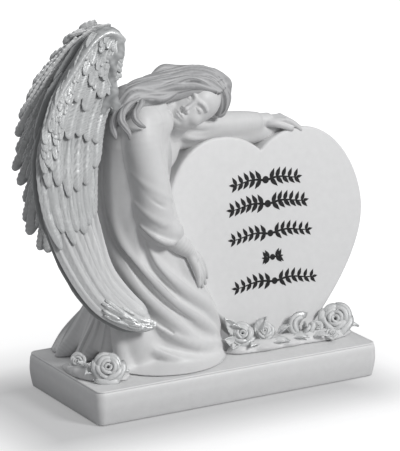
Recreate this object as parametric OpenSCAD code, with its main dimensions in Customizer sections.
// Cast resin angel kneeling beside a leaning heart plaque on an oblong plinth.
// Millimetres. +Z is up, +X runs along the plinth towards the heart and the front faces -Y.
// The origin is the centre of the plinth's underside.

/* [Plinth] */
// Length of the plinth along X
plinth_l = 172; // [160:1:184]
// Depth of the plinth along Y
plinth_d = 82; // [76:1:90]
// Height of the plinth
plinth_h = 19; // [17:0.5:22]
// Radius of the plinth's upright corners
corner_r = 5; // [3:0.5:8]
// How far the foot of the plinth's sides is drawn in
foot_inset = 2; // [1:0.5:3]
// Height of the thin bead round the top edge
bead_h = 0.7; // [0.4:0.1:1.2]
// Thickness of the cast walls and of the top
wall_t = 6; // [4:0.5:8]
// Thickness of the plate that closes the hollow
plate_t = 2; // [1.5:0.5:3]
// Thickness of the felt on the underside
felt_t = 1; // [0.8:0.1:1.5]

/* [Heart plaque] */
// Centre line of the heart along X
heart_x = 40; // [36:1:44]
// Front face of the heart where it meets the plinth, along Y
heart_y = -12; // [-14:0.5:-10]
// How far the heart leans back, in degrees
heart_lean = 10.5; // [8:0.5:13]
// Half the width of the heart
heart_half = 61; // [56:1:64]
// Height of the heart's lobes along its face
heart_top = 114; // [110:1:118]
// Depth of the notch between the lobes
notch_drop = 9.6; // [6:0.2:12]
// Thickness of the heart
heart_t = 17; // [14:1:20]
// Height of the black inlay above the face
inlay_t = 0.4; // [0.3:0.1:0.6]

/* [Wings] */
// Thickness of a wing's plate
wing_t = 5; // [4:0.5:6]
// Step from one layer of feathers to the next
layer_t = 1.6; // [1:0.1:2]
// Lean of each wing towards the other at the top, in degrees
wing_lean = 7; // [5:0.5:8]

/* [Figure and flowers] */
// Radius of the head across the cheeks
head_r = 12.4; // [11.5:0.1:13]
// Radius of the large rose on the front corner
corner_rose_r = 7.8; // [7:0.1:8.4]
// Radius of the large rose at the heart's end
end_rose_r = 8.2; // [7.4:0.1:8.8]
// Radius of the locating dowels
dowel_r = 2; // [1.5:0.1:2.5]
// Clearance round each dowel
dowel_gap = 0.1; // [0.05:0.05:0.2]

/* [Hidden] */
top = plinth_h;
slice_h = 0.6;
wing_foot = [-26, 26, 38];

resin = "gainsboro";
silver = "silver";

// Points of one cubic curve, without its last point.
function cubic(a, b, c, d, n) = [
    for (i = [0 : n - 1])
        let (t = i / n, s = 1 - t)
        s * s * s * a + 3 * s * s * t * b + 3 * s * t * t * c + t * t * t * d
];

// A closed smooth curve through the points p, with n steps from one to the next.
function smooth(p, n) = let (m = len(p)) [
    for (i = [0 : m - 1], k = [0 : n - 1])
        let (
            a = p[(i + m - 1) % m], b = p[i], c = p[(i + 1) % m], d = p[(i + 2) % m],
            t = k / n
        )
        0.5 * (2 * b + (c - a) * t + (2 * a - 5 * b + 4 * c - d) * t * t
               + (3 * b - a - 3 * c + d) * t * t * t)
];

function flipped(p) = [for (i = [len(p) - 1 : -1 : 0]) [-p[i][0], p[i][1]]];

// A blob is [x, y, z, rx, ry, rz]; a chain hulls each blob to the next.
module blob(b, fn = 16) {
    translate([b[0], b[1], b[2]]) scale([b[3], b[4], b[5]]) sphere(1, $fn = fn);
}

module chain(list, fn = 16) {
    for (i = [0 : len(list) - 2]) hull() {
        blob(list[i], fn);
        blob(list[i + 1], fn);
    }
}

// A slice is [x, y, z, rx, ry], a thin oval disc; a stack hulls each slice to the next.
module slice(s) {
    translate([s[0], s[1], s[2]]) scale([s[3], s[4], 1]) cylinder(h = slice_h, r = 1, $fn = 32);
}

module stack(list) {
    for (i = [0 : len(list) - 2]) hull() {
        slice(list[i]);
        slice(list[i + 1]);
    }
}

// ---- plinth ----
module rounded_slab(l, d, h, r) {
    linear_extrude(h) hull() for (x = [-1, 1], y = [-1, 1])
        translate([x * (l / 2 - r), y * (d / 2 - r)]) circle(r, $fn = 32);
}

module at_height(z) { translate([0, 0, z]) children(); }

module plinth_form() {
    waist = plinth_h * 0.45;
    hull() {
        rounded_slab(plinth_l - 2 * foot_inset, plinth_d - 2 * foot_inset, slice_h, corner_r);
        at_height(waist) rounded_slab(plinth_l, plinth_d, slice_h, corner_r);
        at_height(plinth_h - bead_h - slice_h)
            rounded_slab(plinth_l - 1, plinth_d - 1, slice_h, corner_r);
    }
    at_height(plinth_h - bead_h)
        rounded_slab(plinth_l - 2, plinth_d - 2, bead_h, corner_r - 0.5);
}

module plinth() {
    inner_l = plinth_l - 2 * wall_t - 2 * foot_inset;
    inner_d = plinth_d - 2 * wall_t - 2 * foot_inset;
    seat = 2.5;
    color(resin) difference() {
        plinth_form();
        at_height(-1) rounded_slab(inner_l, inner_d, plinth_h - wall_t + 1, corner_r);
        at_height(-1)
            rounded_slab(inner_l + 2 * seat, inner_d + 2 * seat, plate_t + felt_t + 1, corner_r);
        heart_dowel_set(dowel_r + dowel_gap);
        gown_dowel_set(dowel_r + dowel_gap);
    }
}

module closing_sheet(h) {
    gap = 0.1;
    seat = 2.5;
    rounded_slab(plinth_l - 2 * (wall_t + foot_inset - seat + gap),
                 plinth_d - 2 * (wall_t + foot_inset - seat + gap), h, corner_r);
}

module base_plate() { color("lightgrey") at_height(felt_t) closing_sheet(plate_t); }

module base_felt() { color("dimgrey") closing_sheet(felt_t); }

// ---- heart plaque ----
function heart_right() = let (
    notch = [0, heart_top - notch_drop],
    crest = [heart_half * 0.43, heart_top],
    side = [heart_half, heart_top * 0.61],
    tip = [0, -14]
) concat(
    cubic(notch, notch + [7, 6.5], crest - [11, 0], crest, 10),
    cubic(crest, crest + [20, 0], side + [0, 22], side, 12),
    cubic(side, side - [0, 26], [32, 12], tip, 14),
    [tip]
);

// The frame of the heart's front face: X along it, Y up it, and +Z out of it towards -Y.
module on_heart_face() {
    translate([heart_x, heart_y, top]) rotate([90 - heart_lean, 0, 0]) children();
}

module heart_block(extra = 0) {
    half = heart_right();
    on_heart_face() translate([0, 0, -heart_t - extra])
        linear_extrude(heart_t + 2 * extra) polygon(concat(half, flipped(half)));
}

module below_top() {
    translate([-plinth_l, -plinth_l, top - plinth_l]) cube([2 * plinth_l, 2 * plinth_l, plinth_l]);
}

module heart_plaque() {
    color(resin) difference() {
        heart_block();
        below_top();
        heart_dowel_set(dowel_r + dowel_gap);
    }
}

module heart_dowel_set(r) {
    for (x = [-9, 9]) on_heart_face()
        translate([x, 8, -heart_t / 2]) rotate([90, 0, 0])
            translate([0, 0, -4]) cylinder(h = 15, r = r, $fn = 32);
}

module heart_dowels() { color("darkgrey") heart_dowel_set(dowel_r); }

// One leaf of the inlay: the overlap of two circles, length long and width wide.
module leaf_shape(length, width) {
    r = (length * length / 4 + width * width / 4) / width;
    intersection() {
        translate([0, r - width / 2]) circle(r, $fn = 48);
        translate([0, width / 2 - r]) circle(r, $fn = 48);
    }
}

// A level sprig: a thin stem with pairs of leaves and a bead in the middle.
module sprig(width, height, pairs) {
    step = width / (2 * pairs + 1);
    square([width, height * 0.09], center = true);
    circle(height * 0.22, $fn = 24);
    for (side = [-1, 1], i = [1 : pairs], lift = [-1, 1])
        translate([side * (i + 0.1) * step, lift * height * 0.25])
            rotate(side * lift * 42) leaf_shape(height * 0.62, height * 0.24);
}

module plaque_inlay() {
    rows = [[88, 49, 10, 4], [75, 55, 10, 4], [59, 57, 10, 4], [46, 18, 9, 1], [33, 58, 10, 4]];
    color("black") on_heart_face() for (row = rows)
        translate([0, row[0], 0]) linear_extrude(inlay_t) sprig(row[1], row[2], row[3]);
}

// ---- gown ----
gown_slices = [
    [-22, 3, 0, 31, 27], [-22, 3, 10, 31, 26.5], [-25, 2, 24, 31, 25], [-29, 1, 42, 26, 23],
    [-33, 0, 60, 22, 21], [-37, -1, 80, 18, 18], [-39, -1, 100, 16.5, 16.5],
    [-39, -1, 118, 17.5, 17], [-37, 0, 130, 17, 17], [-34, 1, 137, 12, 13], [-31, 1, 139, 7, 8]
];

module gown_form() { stack([for (s = gown_slices) s + [0, 0, top, 0, 0]]); }

module gown() {
    color(resin) difference() {
        gown_form();
        heart_block();
        gown_dowel_set(dowel_r + dowel_gap);
        neck_dowel_set(dowel_r + dowel_gap);
        wing_dowel_set(dowel_r + dowel_gap);
    }
}

// The train of the gown, spread on the plinth behind the figure.
train_blobs = [
    [-76, 24, 1, 7, 9, 3], [-70, 25, 4, 8, 8, 4], [-64, 23, 10, 8, 8, 6],
    [-59, 18, 18, 8, 9, 8], [-54, 12, 28, 8, 9, 8], [-48, 8, 38, 7, 8, 8]
];

module gown_train() {
    color(resin) difference() {
        union() {
            chain([for (b = train_blobs) b + [0, 0, top, 0, 0, 0]]);
            hull() {
                blob([-68, 20, top + 1, 9, 10, 3]);
                blob([-50, 8, top + 2, 10, 12, 5]);
            }
            hull() {
                blob([-50, 8, top + 2, 10, 12, 5]);
                blob([-48, -9, top + 1, 9, 9, 5]);
            }
        }
        gown_form();
        below_top();
    }
}

module gown_dowel_set(r) {
    for (x = [-36, -8]) translate([x, 3, top - 7 + 1]) cylinder(h = 14, r = r, $fn = 32);
}

module gown_dowels() { color("darkgrey") gown_dowel_set(dowel_r); }

// ---- head and hair ----
head_at = [0, 3, 155.5];
crown_way = [0.62, 0.16, 0.72];

module head_form() {
    chin = head_at - 7 * crown_way;
    crown = head_at + 6 * crown_way;
    hull() {
        blob([crown[0], crown[1], crown[2], head_r, head_r, head_r], 24);
        blob([chin[0], chin[1] - 2.5, chin[2], head_r * 0.66, head_r * 0.72, head_r * 0.66], 24);
    }
    chain([[-6, 2, 150, 7, 7, 7], [-14, 1, 149, 6.5, 6.5, 6.5], [-24, 1, 152, 8, 8, 7]]);
}

module head() {
    color(resin) difference() {
        head_form();
        gown_form();
        heart_block(0.05);
        neck_dowel_set(dowel_r + dowel_gap);
    }
}

module neck_dowel_set(r) {
    translate([-30, 1, 151]) rotate([0, 82, 0]) cylinder(h = 20, r = r, $fn = 32);
}

module neck_dowel() { color("darkgrey") neck_dowel_set(dowel_r); }

hair_blobs = [
    [9, 8, 158, 8, 9, 10], [4, 9, 162, 10, 10, 10], [-5, 8, 164, 10, 11, 9.5],
    [-16, 5, 163, 9, 12, 9], [-28, 2, 161.5, 9, 13, 9], [-38, -1, 161, 9, 13, 8.5],
    [-46, -4, 160.5, 7, 11, 8], [-51, -6, 160, 5, 8, 6.5]
];

module hair_form() {
    chain(hair_blobs, 20);
    hull() {
        blob([-28, -5, 160, 8, 9, 6]);
        blob([-47, -10, 157, 7, 8, 6]);
    }
}

module hair() {
    color(resin) difference() {
        hair_form();
        head_form();
        gown_form();
        near_sleeve_form();
        far_sleeve_form();
        heart_block(0.05);
        neck_dowel_set(dowel_r + dowel_gap);
    }
}

lock_blobs = [
    [-56, -13, 159, 3.5, 3.5, 4], [-57, -16, 154, 3, 3, 3], [-56, -18, 149, 2.6, 2.6, 3],
    [-53, -19, 145, 2.2, 2.2, 2.6], [-51, -19.5, 141, 1.6, 1.6, 2.2]
];

module hair_lock() {
    color(resin) difference() {
        chain(lock_blobs, 12);
        hair_form();
        near_sleeve_form();
        gown_form();
    }
}

// ---- arms ----
near_sleeve_blobs = [
    [-44, -8, 149, 10, 10, 9], [-43, -12, 138, 9.5, 9, 9], [-40.5, -14, 118, 9.5, 9, 10],
    [-38, -15, 100, 10, 9, 10], [-34, -16, 92, 10.5, 9, 9]
];

module near_sleeve_form() { chain(near_sleeve_blobs, 20); }

module near_sleeve() {
    color(resin) difference() {
        near_sleeve_form();
        gown_form();
        heart_block(0.05);
    }
}

near_hand_blobs = [
    [-30, -19, 91, 6.5, 6, 6], [-22, -20, 84, 5.2, 5, 5], [-16, -20, 77, 4.4, 4, 4.6],
    [-13, -19.5, 71, 4.2, 3, 4.4], [-12, -19, 65, 2.8, 2.2, 3.5], [-12, -18.5, 61, 1.8, 1.8, 2]
];

module near_hand() {
    color(resin) difference() {
        chain(near_hand_blobs);
        near_sleeve_form();
        gown_form();
        heart_block(0.05);
    }
}

far_sleeve_blobs = [
    [-30, 10, 146, 9, 9, 9], [-17, 13, 140, 8.5, 8, 8], [-3, 14.5, 138, 8, 7.5, 7.5],
    [10, 15, 137, 7.5, 7, 7], [24, 15.5, 136.5, 6.6, 6.5, 6.4], [33, 15.5, 136, 6.2, 6.2, 6]
];

module far_sleeve_form() { chain(far_sleeve_blobs); }

module far_sleeve() {
    color(resin) difference() {
        far_sleeve_form();
        gown_form();
        head_form();
        heart_block(0.05);
    }
}

far_hand_blobs = [
    [33, 15.5, 136, 4.6, 4.8, 4.2], [42, 15.5, 136, 3.8, 4.6, 3.6], [50, 15, 137, 4.4, 5.2, 3.6],
    [57, 14, 136.5, 4, 5, 3], [63, 12.5, 133.5, 3, 4.2, 2.8]
];

module far_hand() {
    color(resin) difference() {
        chain(far_hand_blobs);
        far_sleeve_form();
        gown_form();
        heart_block(0.05);
    }
}

// ---- wings ----
// Outlines are drawn in a wing's own plane: X along the plinth, Y up the wing from its foot.
near_edge = [
    [-59, 128], [-58, 142], [-51, 151], [-49, 159], [-56, 165], [-66, 168], [-73, 159],
    [-90, 137], [-100, 116], [-106, 92], [-105, 70], [-99, 53], [-90, 37], [-81, 23],
    [-71, 12], [-60, 5], [-50, 1], [-43, 3], [-48, 11], [-56, 21], [-62, 31], [-68, 44],
    [-63, 62], [-60, 90], [-60, 112]
];
near_middle = [
    [-60, 125], [-59, 142], [-53, 151], [-52, 159], [-60, 164], [-68, 160], [-80, 145],
    [-92, 124], [-99, 100], [-99, 80], [-93, 62], [-84, 52], [-75, 54], [-70, 66],
    [-64, 82], [-61, 104]
];
near_short = [
    [-61, 126], [-60, 142], [-54, 150], [-54, 158], [-62, 161], [-74, 149], [-84, 133],
    [-90, 114], [-88, 99], [-80, 90], [-72, 92], [-64, 102]
];
far_edge = [
    [-56, 126], [-56, 142], [-50, 151], [-49, 159], [-55, 165], [-68, 168], [-79, 160],
    [-89, 149], [-97, 136], [-104, 118], [-106, 96], [-103, 82], [-98, 70], [-96, 54],
    [-89, 43], [-77, 39], [-67, 24], [-60, 6], [-48, 1], [-46, 9], [-54, 28], [-60, 45],
    [-57, 80], [-55, 110]
];

module wing_plane(side) {
    translate([0, side < 0 ? wing_foot[0] : wing_foot[1], wing_foot[2]])
        rotate([90 + side * wing_lean, 0, 0]) children();
}

module near_wing_form() {
    wing_plane(-1) {
        translate([0, 0, -wing_t]) linear_extrude(wing_t) polygon(smooth(near_edge, 3));
        linear_extrude(layer_t) polygon(smooth(near_middle, 3));
        translate([0, 0, layer_t]) linear_extrude(layer_t) polygon(smooth(near_short, 3));
    }
    chain([[-60, -8, 160, 5, 4, 7], [-55, -6, 155, 5, 4, 6], [-48, -3, 150, 5, 5, 5]], 12);
}

module near_wing() {
    color(silver) difference() {
        near_wing_form();
        gown_form();
        hair_form();
        near_sleeve_form();
        chain(lock_blobs, 12);
        wing_dowel_set(dowel_r + dowel_gap);
    }
}

module far_wing() {
    color(silver) difference() {
        union() {
            wing_plane(1) {
                linear_extrude(wing_t) polygon(smooth(far_edge, 3));
                translate([0, 0, -layer_t]) linear_extrude(layer_t)
                    polygon(smooth(near_middle, 3));
            }
            chain([[-60, 9, 158, 5, 4, 7], [-55, 8, 153, 5, 4, 6], [-48, 5, 149, 5, 5, 5]], 12);
        }
        gown_form();
        hair_form();
        chain([for (b = train_blobs) b + [0, 0, top, 0, 0, 0]]);
        wing_dowel_set(dowel_r + dowel_gap);
    }
}

module wing_dowel_set(r) {
    translate([-58, -6.5, 156]) rotate([0, 118, 0]) cylinder(h = 14, r = r * 0.8, $fn = 32);
    translate([-58, 7.5, 153]) rotate([0, 116, 0]) cylinder(h = 14, r = r * 0.8, $fn = 32);
}

module wing_dowels() { color("darkgrey") wing_dowel_set(dowel_r); }

// ---- roses, buds and leaves ----
flower_tilt = [60, 0, -26];

// A rose of radius r: a ring of five outer petals, a ring of four inner ones and a bud.
module rose_form(p, r, tilt = flower_tilt) {
    translate(p) rotate(tilt) {
        for (a = [0 : 72 : 359]) rotate(a) hull() {
            blob([r * 0.55, -r * 0.3, -r * 0.1, r * 0.42, r * 0.3, r * 0.42], 10);
            blob([r * 0.55, r * 0.3, -r * 0.1, r * 0.42, r * 0.3, r * 0.42], 10);
        }
        for (a = [30 : 90 : 389]) rotate(a) hull() {
            blob([r * 0.3, -r * 0.18, r * 0.2, r * 0.26, r * 0.2, r * 0.32], 10);
            blob([r * 0.3, r * 0.18, r * 0.2, r * 0.26, r * 0.2, r * 0.32], 10);
        }
        blob([0, 0, r * 0.25, r * 0.28, r * 0.28, r * 0.42], 10);
    }
}

module leaf_form(p, turn, length, width) {
    translate(p) rotate(turn) hull() {
        blob([0, 0, 0, width * 0.3, width * 0.3, 0.8], 8);
        blob([length * 0.5, 0, 0.8, width * 0.5, width * 0.5, 1], 8);
        blob([length, 0, 0, 0.5, 0.5, 0.6], 8);
    }
}

corner_rose_at = [-71.8, -26, top + 7];
corner_bud_at = [-78.5, -4.5, top + 5];
corner_bud_r = 4.3;

module corner_bed_form() {
    chain([[-79, 5, top, 4, 6, 2], [-77, -5, top, 5, 7, 3], [-76, -15, top, 6, 7, 3.5],
           [-72, -24, top, 9, 7.5, 4], [-62, -25, top, 6, 5.5, 2.5]], 16);
}

module corner_bed() {
    color(resin) difference() {
        corner_bed_form();
        rose_form(corner_rose_at, corner_rose_r);
        rose_form(corner_bud_at, corner_bud_r);
        gown_form();
        below_top();
    }
}

module corner_rose() {
    color(silver) difference() {
        rose_form(corner_rose_at, corner_rose_r);
        below_top();
    }
}

module corner_bud() {
    color(silver) difference() {
        rose_form(corner_bud_at, corner_bud_r);
        below_top();
    }
}

module corner_leaves() {
    color(silver) difference() {
        union() {
            leaf_form([-79, -14, top + 4], [0, -20, -75], 9, 6);
            leaf_form([-62, -24, top + 3], [0, 10, -15], 8, 6);
        }
        corner_bed_form();
        rose_form(corner_rose_at, corner_rose_r);
        rose_form(corner_bud_at, corner_bud_r);
        below_top();
    }
}

// The garland in front of the heart: [centre, radius] of each flower.
flowers = [
    [[14.5, -16.5, top + 10], 5.2], [[29, -16.5, top + 9.3], 4.6],
    [[50, -16, top + 9.5], 6.4], [[73.5, -17, top + 8.8], end_rose_r]
];

module flower(i) { rose_form(flowers[i][0], flowers[i][1]); }

module cut_flower(i) {
    color(silver) difference() {
        flower(i);
        heart_block(0.05);
        gown_form();
        below_top();
    }
}

module garland_bed() {
    color(resin) difference() {
        chain([[8, -16, top, 5, 5, 7], [20, -16, top, 7, 5, 7], [34, -16, top, 7, 5.5, 6],
               [50, -16, top, 8, 6, 6.5], [66, -17, top, 8, 6.5, 5], [76, -17, top, 6.5, 6, 4]]);
        for (i = [0 : 3]) flower(i);
        heart_block(0.05);
        gown_form();
        below_top();
    }
}

module first_rose() { cut_flower(0); }

module second_rose() { cut_flower(1); }

module curled_rose() { cut_flower(2); }

module end_rose() { cut_flower(3); }

bud_places = [[60.5, -19, top + 8.2], [64, -25, top + 2.6]];

module garland_buds() {
    color(silver) difference() {
        for (p = bud_places) blob([p[0], p[1], p[2], 3.2, 2.6, 2.6], 12);
        for (i = [2 : 3]) flower(i);
        heart_block(0.05);
        below_top();
    }
}

module garland_leaves() {
    color(silver) difference() {
        union() {
            leaf_form([28, -16, top + 13], [0, -25, 20], 9, 5);
            leaf_form([10, -17, top + 14], [0, -30, 160], 7, 5);
            leaf_form([20, -21, top + 4], [0, 5, -35], 9, 6);
            leaf_form([38, -21, top + 3], [0, 5, -20], 9, 6);
            leaf_form([78, -16, top + 15], [0, -15, 25], 7, 5);
        }
        for (i = [0 : 3]) flower(i);
        heart_block(0.05);
        gown_form();
        below_top();
    }
}

plinth();
base_plate();
base_felt();
heart_plaque();
plaque_inlay();
heart_dowels();
gown();
gown_train();
gown_dowels();
head();
neck_dowel();
hair();
hair_lock();
near_sleeve();
near_hand();
far_sleeve();
far_hand();
near_wing();
far_wing();
wing_dowels();
corner_bed();
corner_rose();
corner_bud();
corner_leaves();
garland_bed();
first_rose();
second_rose();
curled_rose();
end_rose();
garland_buds();
garland_leaves();
